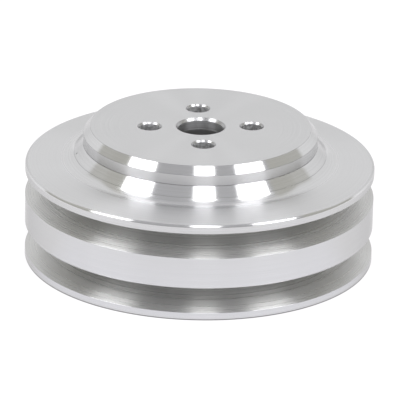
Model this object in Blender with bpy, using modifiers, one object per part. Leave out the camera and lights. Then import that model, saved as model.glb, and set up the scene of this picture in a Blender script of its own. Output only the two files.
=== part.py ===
"""Two-groove V-belt pulley, turned from one aluminium billet.

Frame: metres, +Z up along the shaft axis, origin on that axis at the rear face.
The pulley stands on its rear face, with the bolt holes on +X, -X, +Y and -Y.
It is one solid: a closed outline in the XZ plane, turned about Z, less four bolt holes.
"""

import math

import bpy
from mathutils import Matrix, Vector

MM = 0.001
INCH = 0.0254

PULLEY = "pulley_body"
SEGMENTS = 72
HOLE_SEGMENTS = 24
CHORD_TOLERANCE = 0.04 * MM
MERGE = 0.00001
SHARP_ANGLE = math.radians(20)
CUT_MARGIN = 2.0 * MM

# Whole pulley
RIM_RADIUS = 3.0 * INCH
HEIGHT = 59.0 * MM

# Hub nose
BORE_RADIUS = 9.75 * MM
BORE_CHAMFER = 1.1 * MM
BORE_BACK_CHAMFER = 0.8 * MM
NOSE_RADIUS = 51.0 * MM
NOSE_CHAMFER_WIDTH = 2.9 * MM
NOSE_CHAMFER_DROP = 3.35 * MM
NOSE_WALL_END = 51.0 * MM
NOSE_CORNER_ROUND = 0.5 * MM

# Flare from the nose down to the flange, and the flange out to the rim
FLARE_SLOPE = math.radians(45)
FLANGE_SLOPE = math.radians(6.2)
FLANGE_EDGE_HEIGHT = 42.85 * MM
FLARE_ROUND = 7.9 * MM
RIM_TOP_ROUND = 1.4 * MM

# V grooves, for a 0.440 in automotive belt
GROOVE_COUNT = 2
GROOVE_OPENING = 11.2 * MM
GROOVE_DEPTH = 0.6 * INCH
GROOVE_HALF_ANGLE = math.radians(18)
GROOVE_FLOOR_ROUND = 0.5 * MM
GROOVE_PITCH = 24.8 * MM
REAR_RIM_WIDTH = 3.25 * MM
BAND_CHAMFER_DEPTH = 0.4 * MM
BAND_CHAMFER_HEIGHT = 0.75 * MM

# Rear face and the hollow behind the grooves and the nose
REAR_EDGE_CHAMFER = 0.35 * MM
HOLLOW_RADIUS = 57.0 * MM
HOLLOW_MOUTH_CHAMFER = 0.8 * MM
HOLLOW_CEILING = 38.5 * MM
HOLLOW_ROUND = 3.0 * MM
NOSE_HOLLOW_RADIUS = 45.0 * MM
NOSE_HOLLOW_LIP_ROUND = 1.5 * MM
NOSE_HOLLOW_CEILING = 53.8 * MM
HUB_SEAT_RADIUS = 31.0 * MM
HUB_SEAT_HEIGHT = 53.0 * MM

# Bolt holes
BOLT_COUNT = 4
BOLT_CIRCLE_RADIUS = 1.75 * INCH / 2
BOLT_HOLE_RADIUS = 4.6 * MM
BOLT_HOLE_CHAMFER = 0.75 * MM
BOLT_HOLE_BACK_CHAMFER = 0.5 * MM

ALUMINIUM_COLOUR = (0.68, 0.68, 0.69, 1.0)
ALUMINIUM_ROUGHNESS = 0.25


def clear_scene():
    for thing in list(bpy.data.objects):
        bpy.data.objects.remove(thing, do_unlink=True)


def new_collection(name):
    collection = bpy.data.collections.new(name)
    bpy.context.scene.collection.children.link(collection)
    return collection


def aluminium():
    material = bpy.data.materials.new("turned_aluminium")
    material.use_nodes = True
    shader = material.node_tree.nodes["Principled BSDF"]
    shader.inputs["Base Color"].default_value = ALUMINIUM_COLOUR
    shader.inputs["Metallic"].default_value = 1.0
    shader.inputs["Roughness"].default_value = ALUMINIUM_ROUGHNESS
    return material


def rounded_corner(before, corner, after, radius):
    """Points of the arc that rounds the corner, tangent to both of its sides."""
    arrive = (corner - before).normalized()
    leave = (after - corner).normalized()
    turn = arrive.angle_signed(leave)
    widest_step = 2 * math.acos(1 - CHORD_TOLERANCE / radius)
    steps = max(2, math.ceil(abs(turn) / widest_step))
    chord = 2 * radius * math.sin(abs(turn) / (2 * steps))
    points = [corner - arrive * radius * math.tan(abs(turn) / 2)]
    for step in range(steps):
        heading = Matrix.Rotation(-turn * (step + 0.5) / steps, 2) @ arrive
        points.append(points[-1] + heading * chord)
    return points


def round_off(corners):
    """The closed outline as plain points. Each corner is (radius, height, rounding)."""
    points = []
    count = len(corners)
    for index, (radius, height, rounding) in enumerate(corners):
        corner = Vector((radius, height))
        if rounding == 0:
            points.append(corner)
            continue
        before = Vector(corners[index - 1][:2])
        after = Vector(corners[(index + 1) % count][:2])
        points.extend(rounded_corner(before, corner, after, rounding))
    return points


def flare_meets_flange():
    """Where the line of the flare and the line of the flange cross."""
    flare = math.tan(FLARE_SLOPE)
    flange = math.tan(FLANGE_SLOPE)
    drop = NOSE_WALL_END - FLANGE_EDGE_HEIGHT
    outward = (drop - flange * (RIM_RADIUS - NOSE_RADIUS)) / (flare - flange)
    return NOSE_RADIUS + outward, NOSE_WALL_END - outward * flare


def nose_and_flange():
    flare_end_radius, flare_end_height = flare_meets_flange()
    return [
        (BORE_RADIUS + BORE_CHAMFER, HEIGHT, 0),
        (NOSE_RADIUS - NOSE_CHAMFER_WIDTH, HEIGHT, 0),
        (NOSE_RADIUS, HEIGHT - NOSE_CHAMFER_DROP, 0),
        (NOSE_RADIUS, NOSE_WALL_END, NOSE_CORNER_ROUND),
        (flare_end_radius, flare_end_height, FLARE_ROUND),
        (RIM_RADIUS, FLANGE_EDGE_HEIGHT, RIM_TOP_ROUND),
    ]


def groove_centre(index):
    """Height of a groove's middle. Groove 0 is the front one."""
    rear_centre = REAR_RIM_WIDTH + GROOVE_OPENING / 2
    return rear_centre + (GROOVE_COUNT - 1 - index) * GROOVE_PITCH


def groove(index):
    middle = groove_centre(index)
    floor_radius = RIM_RADIUS - GROOVE_DEPTH
    half_mouth = GROOVE_OPENING / 2
    half_floor = half_mouth - GROOVE_DEPTH * math.tan(GROOVE_HALF_ANGLE)
    upper_lip = [(RIM_RADIUS, middle + half_mouth, 0)]
    if index > 0:
        upper_lip = [
            (RIM_RADIUS, middle + half_mouth + BAND_CHAMFER_HEIGHT, 0),
            (RIM_RADIUS - BAND_CHAMFER_DEPTH, middle + half_mouth, 0),
        ]
    return upper_lip + [
        (floor_radius, middle + half_floor, GROOVE_FLOOR_ROUND),
        (floor_radius, middle - half_floor, GROOVE_FLOOR_ROUND),
        (RIM_RADIUS, middle - half_mouth, 0),
    ]


def rear_face():
    return [
        (RIM_RADIUS, REAR_EDGE_CHAMFER, 0),
        (RIM_RADIUS - REAR_EDGE_CHAMFER, 0, 0),
        (HOLLOW_RADIUS + HOLLOW_MOUTH_CHAMFER, 0, 0),
        (HOLLOW_RADIUS, HOLLOW_MOUTH_CHAMFER, 0),
    ]


def hollow():
    return [
        (HOLLOW_RADIUS, HOLLOW_CEILING, HOLLOW_ROUND),
        (NOSE_HOLLOW_RADIUS, HOLLOW_CEILING, NOSE_HOLLOW_LIP_ROUND),
        (NOSE_HOLLOW_RADIUS, NOSE_HOLLOW_CEILING, HOLLOW_ROUND),
        (HUB_SEAT_RADIUS, NOSE_HOLLOW_CEILING, 0),
        (HUB_SEAT_RADIUS, HUB_SEAT_HEIGHT, 0),
    ]


def bore():
    return [
        (BORE_RADIUS + BORE_BACK_CHAMFER, HUB_SEAT_HEIGHT, 0),
        (BORE_RADIUS, HUB_SEAT_HEIGHT + BORE_BACK_CHAMFER, 0),
        (BORE_RADIUS, HEIGHT - BORE_CHAMFER, 0),
    ]


def pulley_outline():
    """The section at +X, down the outer side and back up the inner side."""
    corners = nose_and_flange()
    for index in range(GROOVE_COUNT):
        corners += groove(index)
    corners += rear_face() + hollow() + bore()
    return round_off(corners)


def turned(name, outline, closed, segments, collection):
    """The outline turned a full circle about Z by a Screw modifier."""
    mesh = bpy.data.meshes.new(name)
    vertices = [(point[0], 0.0, point[1]) for point in outline]
    edges = [(index, index + 1) for index in range(len(vertices) - 1)]
    if closed:
        edges.append((len(vertices) - 1, 0))
    mesh.from_pydata(vertices, edges, [])
    shape = bpy.data.objects.new(name, mesh)
    collection.objects.link(shape)
    screw = shape.modifiers.new("turn", "SCREW")
    screw.axis = "Z"
    screw.angle = 2 * math.pi
    screw.steps = segments
    screw.render_steps = segments
    screw.use_merge_vertices = True
    screw.merge_threshold = MERGE
    return shape


def bolt_hole_cutter(index, collection):
    """One chamfered bolt hole, as the solid that a drill and a countersink remove."""
    top = HEIGHT + CUT_MARGIN
    bottom = HUB_SEAT_HEIGHT - CUT_MARGIN
    outline = [
        (0, top),
        (BOLT_HOLE_RADIUS + BOLT_HOLE_CHAMFER + CUT_MARGIN, top),
        (BOLT_HOLE_RADIUS, HEIGHT - BOLT_HOLE_CHAMFER),
        (BOLT_HOLE_RADIUS, HUB_SEAT_HEIGHT + BOLT_HOLE_BACK_CHAMFER),
        (BOLT_HOLE_RADIUS + BOLT_HOLE_BACK_CHAMFER + CUT_MARGIN, bottom),
        (0, bottom),
    ]
    cutter = turned(f"bolt_hole_cutter_{index}", outline, False, HOLE_SEGMENTS, collection)
    angle = 2 * math.pi * index / BOLT_COUNT
    cutter.location.x = BOLT_CIRCLE_RADIUS * math.cos(angle)
    cutter.location.y = BOLT_CIRCLE_RADIUS * math.sin(angle)
    cutter.hide_render = True
    cutter.display_type = "WIRE"
    return cutter


def shade_round(shape):
    """Bakes the turning into the mesh and shades it smooth between its sharp edges."""
    graph = bpy.context.evaluated_depsgraph_get()
    mesh = bpy.data.meshes.new_from_object(shape.evaluated_get(graph))
    mesh.name = shape.name
    shape.modifiers.clear()
    shape.data = mesh
    mesh.shade_smooth()
    mesh.set_sharp_from_angle(angle=SHARP_ANGLE)


def pulley_body(parts, cutters):
    body = turned(PULLEY, pulley_outline(), True, SEGMENTS, parts)
    shade_round(body)
    body.data.materials.append(aluminium())
    for index in range(BOLT_COUNT):
        cut = body.modifiers.new(f"bolt_hole_{index}", "BOOLEAN")
        cut.operation = "DIFFERENCE"
        cut.solver = "EXACT"
        cut.object = bolt_hole_cutter(index, cutters)
    return body


def main():
    clear_scene()
    parts = new_collection("v_belt_pulley")
    cutters = new_collection("cutters")
    pulley_body(parts, cutters)


main()
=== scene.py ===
import math

import bmesh
import bpy
from mathutils import Matrix, Quaternion, Vector


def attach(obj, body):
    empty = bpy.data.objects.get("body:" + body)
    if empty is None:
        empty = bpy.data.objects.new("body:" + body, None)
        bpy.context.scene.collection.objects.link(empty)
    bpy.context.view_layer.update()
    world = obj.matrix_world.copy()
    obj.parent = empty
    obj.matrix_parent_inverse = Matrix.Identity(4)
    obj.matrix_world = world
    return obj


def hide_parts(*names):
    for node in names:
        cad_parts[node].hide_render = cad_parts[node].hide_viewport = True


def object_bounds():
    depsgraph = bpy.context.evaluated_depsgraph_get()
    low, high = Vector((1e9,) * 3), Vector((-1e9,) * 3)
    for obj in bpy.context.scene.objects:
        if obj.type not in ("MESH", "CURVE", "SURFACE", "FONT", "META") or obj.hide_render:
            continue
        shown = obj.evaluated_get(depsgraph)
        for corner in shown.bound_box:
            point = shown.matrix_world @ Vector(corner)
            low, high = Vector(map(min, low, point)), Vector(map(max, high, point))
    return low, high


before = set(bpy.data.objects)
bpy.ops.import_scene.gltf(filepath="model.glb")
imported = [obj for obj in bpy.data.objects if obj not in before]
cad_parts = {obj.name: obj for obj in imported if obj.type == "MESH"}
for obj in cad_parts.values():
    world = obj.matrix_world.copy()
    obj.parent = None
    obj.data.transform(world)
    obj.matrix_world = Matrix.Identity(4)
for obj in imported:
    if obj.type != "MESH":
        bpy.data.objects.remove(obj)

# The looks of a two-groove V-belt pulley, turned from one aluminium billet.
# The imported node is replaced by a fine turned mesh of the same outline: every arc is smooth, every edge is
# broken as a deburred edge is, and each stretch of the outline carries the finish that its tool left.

MM = 0.001
INCH = 0.0254
CAD_LOW, CAD_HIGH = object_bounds()

# Driving dimensions, the same as the CAD's. The outside ones come from the frame.
RIM_RADIUS = (CAD_HIGH.x - CAD_LOW.x) / 2
HEIGHT = CAD_HIGH.z
BORE_RADIUS = 9.75 * MM
BORE_CHAMFER = 1.1 * MM
BORE_BACK_CHAMFER = 0.8 * MM
NOSE_RADIUS = 51.0 * MM
NOSE_CHAMFER_WIDTH = 2.9 * MM
NOSE_CHAMFER_DROP = 3.35 * MM
NOSE_WALL_END = 51.0 * MM
FLARE_SLOPE = math.radians(45)
FLANGE_SLOPE = math.radians(6.2)
FLANGE_EDGE_HEIGHT = 42.85 * MM
FLARE_ROUND = 7.9 * MM
RIM_TOP_ROUND = 1.4 * MM
GROOVE_COUNT = 2
GROOVE_OPENING = 11.2 * MM
GROOVE_DEPTH = 0.6 * INCH
GROOVE_HALF_ANGLE = math.radians(18)
GROOVE_FLOOR_ROUND = 0.5 * MM
GROOVE_PITCH = 24.8 * MM
REAR_RIM_WIDTH = 3.25 * MM
BAND_CHAMFER_DEPTH = 0.4 * MM
BAND_CHAMFER_HEIGHT = 0.75 * MM
REAR_EDGE_CHAMFER = 0.35 * MM
HOLLOW_RADIUS = 57.0 * MM
HOLLOW_MOUTH_CHAMFER = 0.8 * MM
HOLLOW_CEILING = 38.5 * MM
HOLLOW_ROUND = 3.0 * MM
NOSE_HOLLOW_RADIUS = 45.0 * MM
NOSE_HOLLOW_LIP_ROUND = 1.5 * MM
NOSE_HOLLOW_CEILING = 53.8 * MM
HUB_SEAT_RADIUS = 31.0 * MM
HUB_SEAT_HEIGHT = 53.0 * MM
BOLT_COUNT = 4
BOLT_CIRCLE_RADIUS = 1.75 * INCH / 2
BOLT_HOLE_RADIUS = 4.6 * MM
BOLT_HOLE_CHAMFER = 0.75 * MM
BOLT_HOLE_BACK_CHAMFER = 0.5 * MM

# How fine the mesh is
SEGMENTS = 360
HOLE_SEGMENTS = 96
EDGE_BREAK = 0.12 * MM
CHORD_TOLERANCE = 0.004 * MM
LEAST_ARC_STEPS = 3
LEVEL_TOLERANCE = 0.0001 * MM

# The fine lines that the tool left where it changed direction: at both edges of the nose chamfer, at the foot
# of the nose wall and where the flare runs into its fillet
CHAMFER_RELIEF_WIDTH = 0.20 * MM
NOSE_RELIEF_WIDTH = 0.30 * MM
FILLET_RELIEF_WIDTH = 0.20 * MM
RELIEF_ROUND = 0.01 * MM

# Finishes, which are also the mesh's material slots
FACED, TURNED, NOSE_WALL, FLANGE, BAND, GROOVE, BORED, COUNTERSUNK, INSIDE, DRILLED = range(10)

# Camera
CAMERA_DISTANCE = 1.752
CAMERA_LENS = 360
CAMERA_SENSOR = 36
CAMERA_ELEVATION = math.radians(21.65)
CAMERA_AZIMUTH = math.radians(-3.5)
CAMERA_ROLL = math.radians(1.18)
CAMERA_AIM_HEIGHT = 24.42 * MM
CAMERA_AIM_RIGHT = 0.35 * MM
CAMERA_CLIP = (0.05, 100)


# ---------------------------------------------------------------- outline


def rounded_corner(before, corner, after, radius):
    """Points of the arc that rounds the corner, tangent to both of its sides."""
    arrive = (corner - before).normalized()
    leave = (after - corner).normalized()
    turn = arrive.angle_signed(leave)
    widest_step = 2 * math.acos(1 - CHORD_TOLERANCE / radius)
    steps = max(LEAST_ARC_STEPS, math.ceil(abs(turn) / widest_step))
    chord = 2 * radius * math.sin(abs(turn) / (2 * steps))
    points = [corner - arrive * radius * math.tan(abs(turn) / 2)]
    for step in range(steps):
        heading = Matrix.Rotation(-turn * (step + 0.5) / steps, 2) @ arrive
        points.append(points[-1] + heading * chord)
    return points


def round_off(corners, closed=True):
    """(points, finishes) of an outline. Each corner is (radius, height, rounding, finish).

    A finish is that of the stretch after the corner, or None where the stretch is left open. A fifth value
    is the finish of the corner's own arc, where that is another one.
    """
    points = []
    finishes = []
    for index, (radius, height, rounding, finish, *own_finish) in enumerate(corners):
        corner = Vector((radius, height))
        at_an_end = not closed and index in (0, len(corners) - 1)
        if at_an_end:
            points.append(corner)
            finishes.append(finish)
            continue
        before = Vector(corners[index - 1][:2])
        after = Vector(corners[(index + 1) % len(corners)][:2])
        arc = rounded_corner(before, corner, after, rounding or EDGE_BREAK)
        arc_finish = corners[index - 1][3] if finish is None else finish
        arc_finish = own_finish[0] if own_finish else arc_finish
        points += arc
        finishes += [arc_finish] * (len(arc) - 1) + [finish]
    return points, finishes


def flare_meets_flange():
    """Where the line of the flare and the line of the flange cross."""
    flare = math.tan(FLARE_SLOPE)
    flange = math.tan(FLANGE_SLOPE)
    drop = NOSE_WALL_END - FLANGE_EDGE_HEIGHT
    outward = (drop - flange * (RIM_RADIUS - NOSE_RADIUS)) / (flare - flange)
    return NOSE_RADIUS + outward, NOSE_WALL_END - outward * flare


def relief_line(middle, arrive, leave, width, finish_after=TURNED):
    """A fine V as deep as it is wide, where the outline arrives in one direction and leaves in another.

    The stretch after it gets finish_after.
    """
    inward = Vector((-1, -1)).normalized()
    return [
        (*(middle - arrive * width / 2), RELIEF_ROUND, TURNED),
        (*(middle + inward * width), RELIEF_ROUND, TURNED),
        (*(middle + leave * width / 2), RELIEF_ROUND, finish_after, TURNED),
    ]


def nose_and_flange():
    chamfer_start = Vector((NOSE_RADIUS - NOSE_CHAMFER_WIDTH, HEIGHT))
    chamfer_end = Vector((NOSE_RADIUS, HEIGHT - NOSE_CHAMFER_DROP))
    along_chamfer = (chamfer_end - chamfer_start).normalized()
    flare_end = Vector(flare_meets_flange())
    level = Vector((1, 0))
    down = Vector((0, -1))
    outward = Vector((math.cos(FLARE_SLOPE), -math.sin(FLARE_SLOPE)))
    flare_start = Vector((NOSE_RADIUS, NOSE_WALL_END))
    fillet_turn = FLARE_SLOPE - FLANGE_SLOPE
    fillet_start = flare_end - outward * (FLARE_ROUND * math.tan(fillet_turn / 2) + FILLET_RELIEF_WIDTH)
    corners = [(BORE_RADIUS + BORE_CHAMFER, HEIGHT, 0, None)]
    corners += relief_line(chamfer_start, level, along_chamfer, CHAMFER_RELIEF_WIDTH)
    corners += relief_line(chamfer_end, along_chamfer, down, CHAMFER_RELIEF_WIDTH, NOSE_WALL)
    corners += relief_line(flare_start, down, outward, NOSE_RELIEF_WIDTH)
    corners += relief_line(fillet_start, outward, outward, FILLET_RELIEF_WIDTH)
    return corners + [
        (*flare_end, FLARE_ROUND, FLANGE),
        (RIM_RADIUS, FLANGE_EDGE_HEIGHT, RIM_TOP_ROUND, BAND, TURNED),
    ]


def groove(index):
    """A groove from its upper lip down. Groove 0 is the front one, and its upper lip has no bevel."""
    rear_centre = REAR_RIM_WIDTH + GROOVE_OPENING / 2
    middle = rear_centre + (GROOVE_COUNT - 1 - index) * GROOVE_PITCH
    floor_radius = RIM_RADIUS - GROOVE_DEPTH
    half_mouth = GROOVE_OPENING / 2
    half_floor = half_mouth - GROOVE_DEPTH * math.tan(GROOVE_HALF_ANGLE)
    upper_lip = [(RIM_RADIUS, middle + half_mouth, 0, GROOVE)]
    if index > 0:
        upper_lip = [
            (RIM_RADIUS, middle + half_mouth + BAND_CHAMFER_HEIGHT, 0, TURNED),
            (RIM_RADIUS - BAND_CHAMFER_DEPTH, middle + half_mouth, 0, GROOVE),
        ]
    return upper_lip + [
        (floor_radius, middle + half_floor, GROOVE_FLOOR_ROUND, GROOVE),
        (floor_radius, middle - half_floor, GROOVE_FLOOR_ROUND, GROOVE),
        (RIM_RADIUS, middle - half_mouth, 0, BAND),
    ]


def rear_face():
    return [
        (RIM_RADIUS, REAR_EDGE_CHAMFER, 0, TURNED),
        (RIM_RADIUS - REAR_EDGE_CHAMFER, 0, 0, TURNED),
        (HOLLOW_RADIUS + HOLLOW_MOUTH_CHAMFER, 0, 0, TURNED),
        (HOLLOW_RADIUS, HOLLOW_MOUTH_CHAMFER, 0, INSIDE),
    ]


def hollow():
    return [
        (HOLLOW_RADIUS, HOLLOW_CEILING, HOLLOW_ROUND, INSIDE),
        (NOSE_HOLLOW_RADIUS, HOLLOW_CEILING, NOSE_HOLLOW_LIP_ROUND, INSIDE),
        (NOSE_HOLLOW_RADIUS, NOSE_HOLLOW_CEILING, HOLLOW_ROUND, INSIDE),
        (HUB_SEAT_RADIUS, NOSE_HOLLOW_CEILING, 0, INSIDE),
        (HUB_SEAT_RADIUS, HUB_SEAT_HEIGHT, 0, None),
    ]


def bore():
    return [
        (BORE_RADIUS + BORE_BACK_CHAMFER, HUB_SEAT_HEIGHT, 0, BORED),
        (BORE_RADIUS, HUB_SEAT_HEIGHT + BORE_BACK_CHAMFER, 0, BORED),
        (BORE_RADIUS, HEIGHT - BORE_CHAMFER, 0, COUNTERSUNK),
    ]


def pulley_outline():
    """The section at +X, down the outer side and back up the inner side.

    The nose face and the hub seat are left open.
    """
    corners = nose_and_flange()
    for index in range(GROOVE_COUNT):
        corners += groove(index)
    return round_off(corners + rear_face() + hollow() + bore())


def bolt_hole_outline():
    """A bolt hole's wall, from the nose face down to the hub seat."""
    seat_radius = BOLT_HOLE_RADIUS + BOLT_HOLE_BACK_CHAMFER
    face_radius = BOLT_HOLE_RADIUS + BOLT_HOLE_CHAMFER
    corners = [
        (face_radius + EDGE_BREAK, HEIGHT, 0, TURNED),
        (face_radius, HEIGHT, 0, COUNTERSUNK),
        (BOLT_HOLE_RADIUS, HEIGHT - BOLT_HOLE_CHAMFER, 0, DRILLED),
        (BOLT_HOLE_RADIUS, HUB_SEAT_HEIGHT + BOLT_HOLE_BACK_CHAMFER, 0, DRILLED),
        (seat_radius, HUB_SEAT_HEIGHT, 0, INSIDE),
        (seat_radius + EDGE_BREAK, HUB_SEAT_HEIGHT, 0, None),
    ]
    return round_off(corners, closed=False)


# ---------------------------------------------------------------- mesh


def turn(shape, points, finishes, centre, segments, closed):
    """Adds the outline to shape, turned a full circle about the vertical line through centre."""
    sections = []
    for step in range(segments):
        angle = 2 * math.pi * step / segments
        sections.append(
            [
                shape.verts.new((centre.x + p.x * math.cos(angle), centre.y + p.x * math.sin(angle), p.y))
                for p in points
            ]
        )
    last = len(points) if closed else len(points) - 1
    for step, section in enumerate(sections):
        following = sections[(step + 1) % segments]
        for index in range(last):
            if finishes[index] is None:
                continue
            below = (index + 1) % len(points)
            face = shape.faces.new((section[index], section[below], following[below], following[index]))
            face.material_index = finishes[index]
            face.smooth = True


def fill_level(shape, height, finish):
    """Closes the flat face at this height, between the outline's open edges and the bolt holes."""
    rim = [
        edge
        for edge in shape.edges
        if edge.is_boundary and all(abs(v.co.z - height) < LEVEL_TOLERANCE for v in edge.verts)
    ]
    filled = bmesh.ops.triangle_fill(shape, edges=rim, use_beauty=True)
    for element in filled["geom"]:
        if isinstance(element, bmesh.types.BMFace):
            element.material_index = finish
            element.smooth = True


def pulley_mesh():
    shape = bmesh.new()
    points, finishes = pulley_outline()
    turn(shape, points, finishes, Vector((0, 0)), SEGMENTS, closed=True)
    points, finishes = bolt_hole_outline()
    for index in range(BOLT_COUNT):
        angle = 2 * math.pi * index / BOLT_COUNT
        centre = Vector((math.cos(angle), math.sin(angle))) * BOLT_CIRCLE_RADIUS
        turn(shape, points, finishes, centre, HOLE_SEGMENTS, closed=False)
    fill_level(shape, HEIGHT, FACED)
    fill_level(shape, HUB_SEAT_HEIGHT, INSIDE)
    bmesh.ops.recalc_face_normals(shape, faces=shape.faces)
    mesh = bpy.data.meshes.new("pulley")
    shape.to_mesh(mesh)
    shape.free()
    return mesh


# ---------------------------------------------------------------- materials


def new_material(name):
    material = bpy.data.materials.new(name)
    material.use_nodes = True
    return material, material.node_tree.nodes["Principled BSDF"]


class Graph:
    """Short names for adding and linking shader nodes."""

    def __init__(self, tree):
        self.tree = tree

    def add(self, kind, **settings):
        node = self.tree.nodes.new(kind)
        for name, value in settings.items():
            setattr(node, name, value)
        return node

    def link(self, source, target):
        self.tree.links.new(source, target)

    def feed(self, value, target):
        """Links a socket to another node's output, or sets it to a plain value."""
        if isinstance(value, bpy.types.NodeSocket):
            self.link(value, target)
        else:
            target.default_value = value

    def position(self):
        """The place on the object, in metres from its origin."""
        return self.add("ShaderNodeTexCoord").outputs["Object"]

    def math(self, operation, first, second=0.0):
        """One step of arithmetic on values that are sockets or plain numbers."""
        node = self.add("ShaderNodeMath", operation=operation)
        self.feed(first, node.inputs[0])
        self.feed(second, node.inputs[1])
        return node.outputs[0]

    def spread(self, value, low, high, new_low, new_high):
        """The value with low to high stretched to new_low to new_high, and level beyond them."""
        node = self.add("ShaderNodeMapRange")
        self.link(value, node.inputs["Value"])
        for name, number in (
            ("From Min", low),
            ("From Max", high),
            ("To Min", new_low),
            ("To Max", new_high),
        ):
            node.inputs[name].default_value = number
        return node.outputs["Result"]

    def step(self, value, edge, softness):
        """0 below the edge and 1 above it, changing smoothly within the softness to either side."""
        node = self.add("ShaderNodeMapRange", interpolation_type="SMOOTHSTEP")
        self.link(value, node.inputs["Value"])
        node.inputs["From Min"].default_value = edge - softness
        node.inputs["From Max"].default_value = edge + softness
        return node.outputs["Result"]

    def blend(self, share, first, second):
        """A colour that goes from first to second as share goes from 0 to 1."""
        node = self.add("ShaderNodeMix", data_type="RGBA")
        self.link(share, node.inputs["Factor"])
        for name, colour in (("A", first), ("B", second)):
            socket = next(i for i in node.inputs if i.name == name and i.type == "RGBA")
            self.feed(colour if isinstance(colour, bpy.types.NodeSocket) else (*colour, 1), socket)
        return next(o for o in node.outputs if o.type == "RGBA")

    def profile(self, value, knots):
        """A number that runs in straight lines through (value, result) knots, and is level beyond them."""
        result = knots[0][1]
        for (low, before), (high, after) in zip(knots, knots[1:], strict=False):
            result = self.math("ADD", result, self.spread(value, low, high, 0.0, after - before))
        return result

    def scale(self, colour, factor):
        """A colour made lighter or darker by a factor."""
        node = self.add("ShaderNodeVectorMath", operation="SCALE")
        self.feed(colour, node.inputs[0])
        self.link(factor, node.inputs["Scale"])
        return node.outputs["Vector"]

    def dot(self, vector, other):
        """How far a vector reaches along another one, which is a socket or a fixed direction."""
        node = self.add("ShaderNodeVectorMath", operation="DOT_PRODUCT")
        self.link(vector, node.inputs[0])
        self.feed(other, node.inputs[1])
        return node.outputs["Value"]


# Handling rubs the metal beside its outer edges: how far from them, how fine the patches are, which part of
# the noise they take, and how much paler and rougher it leaves them
WEAR_REACH = 0.5 * MM
WEAR_PATCHES_PER_METRE = 260
WEAR_PATCH_EDGE, WEAR_PATCH_SOFTNESS = 0.5, 0.12
WEAR_TONE = 0.15
WEAR_ROUGHNESS = 0.12
# What tells an outer edge: how far a rounded surface would turn away from the real one, as 1 less a cosine,
# and how pointed the mesh is
EDGE_TURN, EDGE_TURN_SOFTNESS = 0.02, 0.018
POINTED, POINTED_SOFTNESS = 0.53, 0.02

# The stretch of a noise's range that the whole swing of the tone, or of the roughness, is spread over
TONE_RANGE = (0.35, 0.65)
RING_RANGE = (0.3, 0.7)
# Rings against clouds in the tone, and how much finer and lower the fine rings are than the coarse ones
RING_SHARE = 0.6
FINE_RINGS = 6
FINE_RING_HEIGHT = 0.3
CLOUDS_PER_METRE = 35
MOTTLES_PER_METRE = 700

# A small dent low on the flare, on the left. The dent is not modelled: a painted shade darkens the metal
# there
NICK = Vector((-53.9, -4.1, 47.9)) * MM
NICK_RADIUS = 0.45 * MM
NICK_PAINTED_SHADE = 0.3

# Beside the fillet the flange is finer: its two radii in millimetres, and how much less rough it is at the
# first
FLANGE_FINER = (56.5, 62, 0.13)

# ALUMINIUM is the metal's own colour. The band, groove, nose wall and chamfer colours are darker copies of
# it, the groove's also warmer: painted shade that dims those surfaces.
ALUMINIUM = (0.66, 0.66, 0.665)
SHADED_BAND_ALUMINIUM = (0.605, 0.605, 0.61)
SHADED_GROOVE_ALUMINIUM = (0.64, 0.64, 0.63)
SHADED_WALL_ALUMINIUM = (0.61, 0.61, 0.615)
SHADED_CHAMFER_ALUMINIUM = (0.45, 0.45, 0.455)

# A quarter turn, which lays the long side of the gloss across the rings
ACROSS_RINGS = 0.25


def tool_path(graph):
    """The distance from the axis, and how far the tool has fed along the section: both in millimetres."""
    axes = graph.add("ShaderNodeSeparateXYZ")
    graph.link(graph.position(), axes.inputs[0])
    squares = graph.math(
        "ADD",
        graph.math("MULTIPLY", axes.outputs["X"], axes.outputs["X"]),
        graph.math("MULTIPLY", axes.outputs["Y"], axes.outputs["Y"]),
    )
    radius = graph.math("SQRT", squares)
    feed = graph.math("SUBTRACT", radius, axes.outputs["Z"])
    return graph.math("MULTIPLY", radius, 1 / MM), graph.math("MULTIPLY", feed, 1 / MM)


def rings(graph, path, per_mm):
    """A 1D noise along the tool path, which shows as rings round the axis."""
    noise = graph.add("ShaderNodeTexNoise", noise_dimensions="1D")
    graph.link(path, noise.inputs["W"])
    noise.inputs["Scale"].default_value = per_mm
    noise.inputs["Detail"].default_value = 2
    noise.inputs["Roughness"].default_value = 0.6
    return noise.outputs["Fac"]


def spots(graph, per_metre):
    """A cloudy noise of this fineness."""
    noise = graph.add("ShaderNodeTexNoise")
    graph.link(graph.position(), noise.inputs["Vector"])
    noise.inputs["Scale"].default_value = per_metre
    noise.inputs["Detail"].default_value = 3
    return noise.outputs["Fac"]


def edge_wear(graph):
    """How much handling has rubbed an outer edge, in patches: 0 away from the edges."""
    surface = graph.add("ShaderNodeNewGeometry")
    rounded = graph.add("ShaderNodeBevel", samples=4)
    rounded.inputs["Radius"].default_value = WEAR_REACH
    turned_away = graph.math("SUBTRACT", 1.0, graph.dot(rounded.outputs["Normal"], surface.outputs["Normal"]))
    beside_edge = graph.step(turned_away, EDGE_TURN, EDGE_TURN_SOFTNESS)
    outer_edge = graph.step(surface.outputs["Pointiness"], POINTED, POINTED_SOFTNESS)
    rubbed = graph.step(spots(graph, WEAR_PATCHES_PER_METRE), WEAR_PATCH_EDGE, WEAR_PATCH_SOFTNESS)
    return graph.math("MULTIPLY", graph.math("MULTIPLY", beside_edge, outer_edge), rubbed)


def ring_tone(graph, coarse, swing):
    """A factor that lightens and darkens the metal by this swing, in rings and in clouds."""
    in_rings = graph.math("MULTIPLY", coarse, RING_SHARE)
    in_clouds = graph.math("MULTIPLY", spots(graph, CLOUDS_PER_METRE), 1 - RING_SHARE)
    return graph.spread(graph.math("ADD", in_rings, in_clouds), *TONE_RANGE, 1 - swing, 1 + swing)


def mottling(graph, swing):
    """A factor that lightens and darkens the metal by this swing, in fine spots."""
    return graph.spread(spots(graph, MOTTLES_PER_METRE), *TONE_RANGE, 1 - swing, 1 + swing)


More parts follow.
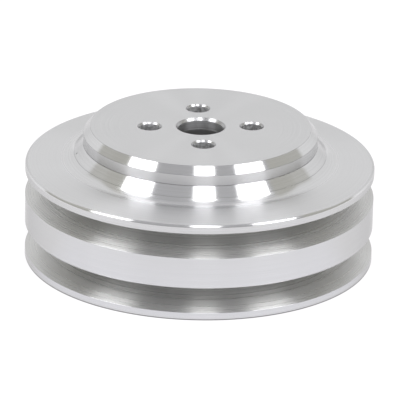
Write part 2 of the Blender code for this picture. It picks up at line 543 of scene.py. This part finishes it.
def nick_painted_shade(graph, nick):
    """A factor that darkens the metal where a small dent is: a painted shade of the dent."""
    from_nick = graph.add("ShaderNodeVectorMath", operation="DISTANCE")
    graph.link(graph.position(), from_nick.inputs[0])
    from_nick.inputs[1].default_value = nick
    outside = graph.step(from_nick.outputs["Value"], NICK_RADIUS, NICK_RADIUS / 2)
    return graph.spread(outside, 0, 1, NICK_PAINTED_SHADE, 1)


def ring_bump(graph, coarse, fine, depth):
    bump = graph.add("ShaderNodeBump")
    bump.inputs["Strength"].default_value = 1.0
    bump.inputs["Distance"].default_value = depth
    height = graph.math("ADD", coarse, graph.math("MULTIPLY", fine, FINE_RING_HEIGHT))
    graph.link(height, bump.inputs["Height"])
    return bump.outputs["Normal"]


def aluminium(
    name,
    colour,
    roughness,
    ring_depth,
    rings_per_mm=1.2,
    anisotropy=1.0,
    roughness_swing=0.02,
    tone_swing=0.03,
    edge_tint=0.78,
    mottle=0.0,
    finer_within=None,
    nick=None,
):
    """Bare aluminium with the rings that a tool leaves.

    finer_within is (inner radius, outer radius, how much less rough it is at the inner one), in millimetres.
    nick is where a small dent is, whose shade is painted.
    """
    material, shader = new_material(name)
    graph = Graph(material.node_tree)
    radius, path = tool_path(graph)
    coarse = rings(graph, path, rings_per_mm)
    fine = rings(graph, path, rings_per_mm * FINE_RINGS)
    worn = edge_wear(graph)

    tone = ring_tone(graph, coarse, tone_swing)
    if mottle:
        tone = graph.math("MULTIPLY", tone, mottling(graph, mottle))
    # The painted shade of a small dent
    if nick:
        tone = graph.math("MULTIPLY", tone, nick_painted_shade(graph, nick))
    tone = graph.math("ADD", tone, graph.math("MULTIPLY", worn, WEAR_TONE))
    graph.link(graph.scale(colour, tone), shader.inputs["Base Color"])

    shine = graph.spread(coarse, *RING_RANGE, roughness - roughness_swing, roughness + roughness_swing)
    if finer_within:
        inner, outer, less = finer_within
        shine = graph.math("ADD", shine, graph.profile(radius, [(inner, -less), (outer, 0.0)]))
    shine = graph.math("ADD", shine, graph.math("MULTIPLY", worn, WEAR_ROUGHNESS))
    graph.link(shine, shader.inputs["Roughness"])
    graph.link(ring_bump(graph, coarse, fine, ring_depth), shader.inputs["Normal"])

    tangent = graph.add("ShaderNodeTangent", direction_type="RADIAL", axis="Z")
    graph.link(tangent.outputs["Tangent"], shader.inputs["Tangent"])
    shader.inputs["Metallic"].default_value = 1.0
    shader.inputs["Specular Tint"].default_value = (edge_tint, edge_tint, edge_tint, 1)
    shader.inputs["Anisotropic"].default_value = anisotropy
    shader.inputs["Anisotropic Rotation"].default_value = ACROSS_RINGS
    return material


def finishes():
    """The materials, in the order of the mesh's slots."""
    return [
        aluminium("faced", ALUMINIUM, roughness=0.15, ring_depth=0.001 * MM),
        aluminium("turned", ALUMINIUM, roughness=0.17, ring_depth=0.0015 * MM, tone_swing=0.045, nick=NICK),
        aluminium("turned_nose_wall", SHADED_WALL_ALUMINIUM, roughness=0.22, ring_depth=0.002 * MM, edge_tint=1.0),
        aluminium(
            "turned_flange",
            ALUMINIUM,
            roughness=0.31,
            ring_depth=0.002 * MM,
            anisotropy=0.9,
            roughness_swing=0.03,
            edge_tint=0.9,
            finer_within=FLANGE_FINER,
        ),
        aluminium("turned_band", SHADED_BAND_ALUMINIUM, roughness=0.17, ring_depth=0.002 * MM, edge_tint=0.74),
        aluminium(
            "groove_cut",
            SHADED_GROOVE_ALUMINIUM,
            roughness=0.30,
            ring_depth=0.006 * MM,
            rings_per_mm=0.9,
            roughness_swing=0.04,
            tone_swing=0.10,
        ),
        aluminium(
            "bored",
            ALUMINIUM,
            roughness=0.36,
            ring_depth=0.01 * MM,
            rings_per_mm=1.5,
            anisotropy=0.8,
            roughness_swing=0.05,
            tone_swing=0.08,
        ),
        aluminium(
            "countersunk",
            SHADED_CHAMFER_ALUMINIUM,
            roughness=0.26,
            ring_depth=0.003 * MM,
            rings_per_mm=1.5,
            anisotropy=0.3,
            roughness_swing=0.03,
        ),
        aluminium(
            "turned_inside",
            ALUMINIUM,
            roughness=0.45,
            ring_depth=0.01 * MM,
            rings_per_mm=1.0,
            anisotropy=0.8,
            roughness_swing=0.05,
        ),
        aluminium(
            "drilled",
            ALUMINIUM,
            roughness=0.5,
            ring_depth=0.03 * MM,
            rings_per_mm=2.5,
            anisotropy=0.3,
            roughness_swing=0.08,
            tone_swing=0.15,
            mottle=0.35,
        ),
    ]


def pulley():
    mesh = pulley_mesh()
    for material in finishes():
        mesh.materials.append(material)
    piece = bpy.data.objects.new("pulley", mesh)
    bpy.context.scene.collection.objects.link(piece)
    flats = piece.modifiers.new("flats stay flat", "WEIGHTED_NORMAL")
    flats.mode = "FACE_AREA"
    flats.weight = 100
    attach(piece, "root")
    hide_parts("pulley_body")


# ---------------------------------------------------------------- stage


def camera_axes():
    """The camera's level right and forward directions, and the direction from the pulley to it."""
    right = Vector((math.cos(CAMERA_AZIMUTH), math.sin(CAMERA_AZIMUTH), 0))
    forward = Vector((-math.sin(CAMERA_AZIMUTH), math.cos(CAMERA_AZIMUTH), 0))
    back = -forward * math.cos(CAMERA_ELEVATION) + Vector((0, 0, math.sin(CAMERA_ELEVATION)))
    return right, forward, back


def make_camera():
    right, _, back = camera_axes()
    aim = right * CAMERA_AIM_RIGHT + Vector((0, 0, CAMERA_AIM_HEIGHT))
    lens = bpy.data.cameras.new("camera")
    lens.lens = CAMERA_LENS
    lens.sensor_width = CAMERA_SENSOR
    lens.clip_start, lens.clip_end = CAMERA_CLIP
    camera = bpy.data.objects.new("camera", lens)
    bpy.context.scene.collection.objects.link(camera)
    camera.location = aim + back * CAMERA_DISTANCE
    camera.rotation_mode = "QUATERNION"
    roll = Quaternion((0, 0, 1), CAMERA_ROLL)
    camera.rotation_quaternion = (-back).to_track_quat("-Z", "Y") @ roll
    bpy.context.scene.camera = camera


# The pale floor paper, which glows as if lit from below. How strongly it glows at each distance from the
# axis: a painted shadow dims it under the pulley, most inside the hollow and along the line where the pulley
# stands.
FLOOR_GLOW_AND_PAINTED_SHADOW = [
    (57.2 * MM, 0.09),
    (58.2 * MM, 0.55),
    (73.0 * MM, 0.55),
    (74.5 * MM, 0.10),
    (76.0 * MM, 0.10),
    (76.35 * MM, 0.86),
    (77.0 * MM, 0.88),
]
FLOOR_TINT = (1.0, 0.99, 1.0)
# A painted pool of light, bluer than the rest, adds to it in front of the pulley: how much, how that fades
# with distance, where it starts, and how far forwards a place has to lie, as a cosine
FRONT_PAINTED_LIGHT = 0.07
FRONT_REACH = [(130 * MM, 1.0), (165 * MM, 0.0)]
FRONT_START, FRONT_START_SOFTNESS = 77.5 * MM, 1.0 * MM
FRONT_SIDE, FRONT_SIDE_SOFTNESS = 0.33, 0.17
FRONT_PAINTED_LIGHT_TINT = (1.005, 1.0, 1.045)
PAPER = (0.14, 0.14, 0.14, 1)
PAPER_ROUGHNESS = 0.9
FLOOR_HALF_WIDTH = 30
FLOOR_CLEARANCE = 0.05 * MM


def clear_from_below(graph, shader):
    """Makes a sheet clear when it is looked at from its back."""
    output = graph.tree.nodes["Material Output"]
    clear = graph.add("ShaderNodeBsdfTransparent")
    choice = graph.add("ShaderNodeMixShader")
    graph.link(graph.add("ShaderNodeNewGeometry").outputs["Backfacing"], choice.inputs["Fac"])
    graph.link(shader.outputs["BSDF"], choice.inputs[1])
    graph.link(clear.outputs["BSDF"], choice.inputs[2])
    graph.link(choice.outputs["Shader"], output.inputs["Surface"])


def floor_paper():
    material, shader = new_material("floor_paper")
    shader.inputs["Base Color"].default_value = PAPER
    shader.inputs["Roughness"].default_value = PAPER_ROUGHNESS
    shader.inputs["Specular IOR Level"].default_value = 0.0
    graph = Graph(material.node_tree)
    position = graph.position()
    length = graph.add("ShaderNodeVectorMath", operation="LENGTH")
    graph.link(position, length.inputs[0])
    distance = length.outputs["Value"]
    _, forward, _ = camera_axes()
    # Where the painted pool of light lies: in front of the pulley, fading with distance.
    forwards = graph.math("DIVIDE", graph.dot(position, -forward), distance)
    front = graph.step(forwards, FRONT_SIDE, FRONT_SIDE_SOFTNESS)
    front = graph.math("MULTIPLY", front, graph.profile(distance, FRONT_REACH))
    front = graph.math("MULTIPLY", front, graph.step(distance, FRONT_START, FRONT_START_SOFTNESS))
    # The glow carries the painted shadow under the pulley and the painted pool of light in front of it.
    glow = graph.math("ADD", graph.profile(distance, FLOOR_GLOW_AND_PAINTED_SHADOW), graph.math("MULTIPLY", front, FRONT_PAINTED_LIGHT))
    graph.link(graph.blend(front, FLOOR_TINT, FRONT_PAINTED_LIGHT_TINT), shader.inputs["Emission Color"])
    graph.link(glow, shader.inputs["Emission Strength"])
    clear_from_below(graph, shader)
    return material


def make_floor():
    shape = bmesh.new()
    bmesh.ops.create_grid(shape, x_segments=1, y_segments=1, size=FLOOR_HALF_WIDTH)
    mesh = bpy.data.meshes.new("floor")
    shape.to_mesh(mesh)
    shape.free()
    mesh.materials.append(floor_paper())
    floor = bpy.data.objects.new("floor", mesh)
    bpy.context.scene.collection.objects.link(floor)
    floor.location.z = -FLOOR_CLEARANCE


# The studio. It is described by the little mirror that would show each part of it to the camera: which way
# round the axis that mirror faces (0 is towards the camera, positive to its right) and how steeply it faces
# up. All angles are in degrees.

# Each tall soft light: where it starts and ends round the axis at its foot, the same at its head, and how
# bright its head is beside the others
STRIPS = [
    ((-37.5, -22.8), (-33.3, -23.0), 1.0),
    ((-2.3, 7.0), (-1.8, 5.3), 0.7),
    ((18.4, 33.3), (19.2, 29.0), 1.25),
]
# The slope at which a light's foot gives way to its head, and how soft its sides are
STRIP_HEAD, STRIP_HEAD_SOFTNESS = 53.5, 6.5
STRIP_SOFTNESS = 0.8
# How brightly they shine at each slope, and their light
STRIP_GLOW = [
    (10, 0.02),
    (25, 0.06),
    (31, 0.32),
    (37, 0.5),
    (43, 0.85),
    (47, 1.0),
    (51, 0.4),
    (56, 0.12),
    (64, 0.09),
    (72, 0.03),
    (79, 0),
]
STRIP_LIGHT = (7.0, 7.0, 7.14)
# The light between them at each slope, from the horizon in front up to the ceiling
GAP_GLOW = [(11, 0.72), (18, 0.54), (33, 0.50), (41, 0.58), (50, 0.58), (62, 0.56), (73, 1.0)]
GAP_TINT = (1, 1, 1.02)
# The warmer corners of the room, which start this far round
CORNER_SIDE, CORNER_SOFTNESS = 36, 1
CORNER_TINT = (1.04, 1.03, 0.955)
# The white walls to the sides and behind: how far round they start, and the slope of their foot above the
# gaps, at each angle round
WALL_SIDE, WALL_SIDE_SOFTNESS = 60.6, 2
WALL_FOOT = [(0, 75), (40.625, 66.875), (50.833, 48.5)]
WALL_FOOT_SOFTNESS = 4
WALL_GLOW = [(10, 0.65), (22, 1.2), (34, 1.2), (41, 0.90), (64, 0.94), (80, 0.97)]
WALL_TINT = (1.0, 1.0, 1.005)


def facing(graph):
    """Azimuth and slope, in degrees, of the mirror that shows a direction of the studio to the camera."""
    right, forward, back = camera_axes()
    direction = graph.add("ShaderNodeTexCoord").outputs["Generated"]
    across = graph.dot(direction, right)
    towards = graph.math("SUBTRACT", math.cos(CAMERA_ELEVATION), graph.dot(direction, forward))
    up = graph.math("ADD", graph.dot(direction, Vector((0, 0, 1))), math.sin(CAMERA_ELEVATION))
    level = graph.math(
        "SQRT",
        graph.math("ADD", graph.math("MULTIPLY", across, across), graph.math("MULTIPLY", towards, towards)),
    )
    azimuth = graph.math("DEGREES", graph.math("ARCTAN2", across, towards))
    slope = graph.math("DEGREES", graph.math("ARCTAN2", up, level))
    return azimuth, slope


def strip_mask(graph, azimuth, slope):
    """1 in the soft lights and 0 beside them."""
    head = graph.step(slope, STRIP_HEAD, STRIP_HEAD_SOFTNESS)
    mask = 0.0
    for foot_edges, head_edges, head_strength in STRIPS:
        start, end = (
            graph.spread(head, 0, 1, at_foot, at_head)
            for at_foot, at_head in zip(foot_edges, head_edges, strict=True)
        )
        after_start = graph.step(graph.math("SUBTRACT", azimuth, start), 0, STRIP_SOFTNESS)
        before_end = graph.step(graph.math("SUBTRACT", end, azimuth), 0, STRIP_SOFTNESS)
        within = graph.math("MULTIPLY", after_start, before_end)
        strength = graph.spread(head, 0, 1, 1, head_strength)
        mask = graph.math("ADD", mask, graph.math("MULTIPLY", within, strength))
    return graph.math("MULTIPLY", mask, graph.profile(slope, STRIP_GLOW))


def wall_mask(graph, aside, slope):
    """1 on the white walls, whose foot comes down as they go round."""
    over_foot = graph.math("SUBTRACT", slope, graph.profile(aside, WALL_FOOT))
    above = graph.step(over_foot, 0, WALL_FOOT_SOFTNESS)
    return graph.math("MAXIMUM", above, graph.step(aside, WALL_SIDE, WALL_SIDE_SOFTNESS))


def make_room():
    world = bpy.data.worlds.new("room")
    world.use_nodes = True
    graph = Graph(world.node_tree)
    azimuth, slope = facing(graph)
    aside = graph.math("ABSOLUTE", azimuth)
    tint = graph.blend(graph.step(aside, CORNER_SIDE, CORNER_SOFTNESS), GAP_TINT, CORNER_TINT)
    light = graph.scale(tint, graph.profile(slope, GAP_GLOW))
    wall = graph.scale(WALL_TINT, graph.profile(slope, WALL_GLOW))
    light = graph.blend(wall_mask(graph, aside, slope), light, wall)
    light = graph.blend(strip_mask(graph, azimuth, slope), light, STRIP_LIGHT)
    background = world.node_tree.nodes["Background"]
    graph.link(light, background.inputs["Color"])
    background.inputs["Strength"].default_value = 1.0
    bpy.context.scene.world = world


def make_stage():
    make_floor()
    make_room()
    make_camera()
    scene = bpy.context.scene
    scene.view_settings.view_transform = "Standard"
    scene.view_settings.look = "None"
    scene.cycles.max_bounces = 16
    scene.cycles.glossy_bounces = 12
    scene.cycles.diffuse_bounces = 4


pulley()
make_stage()
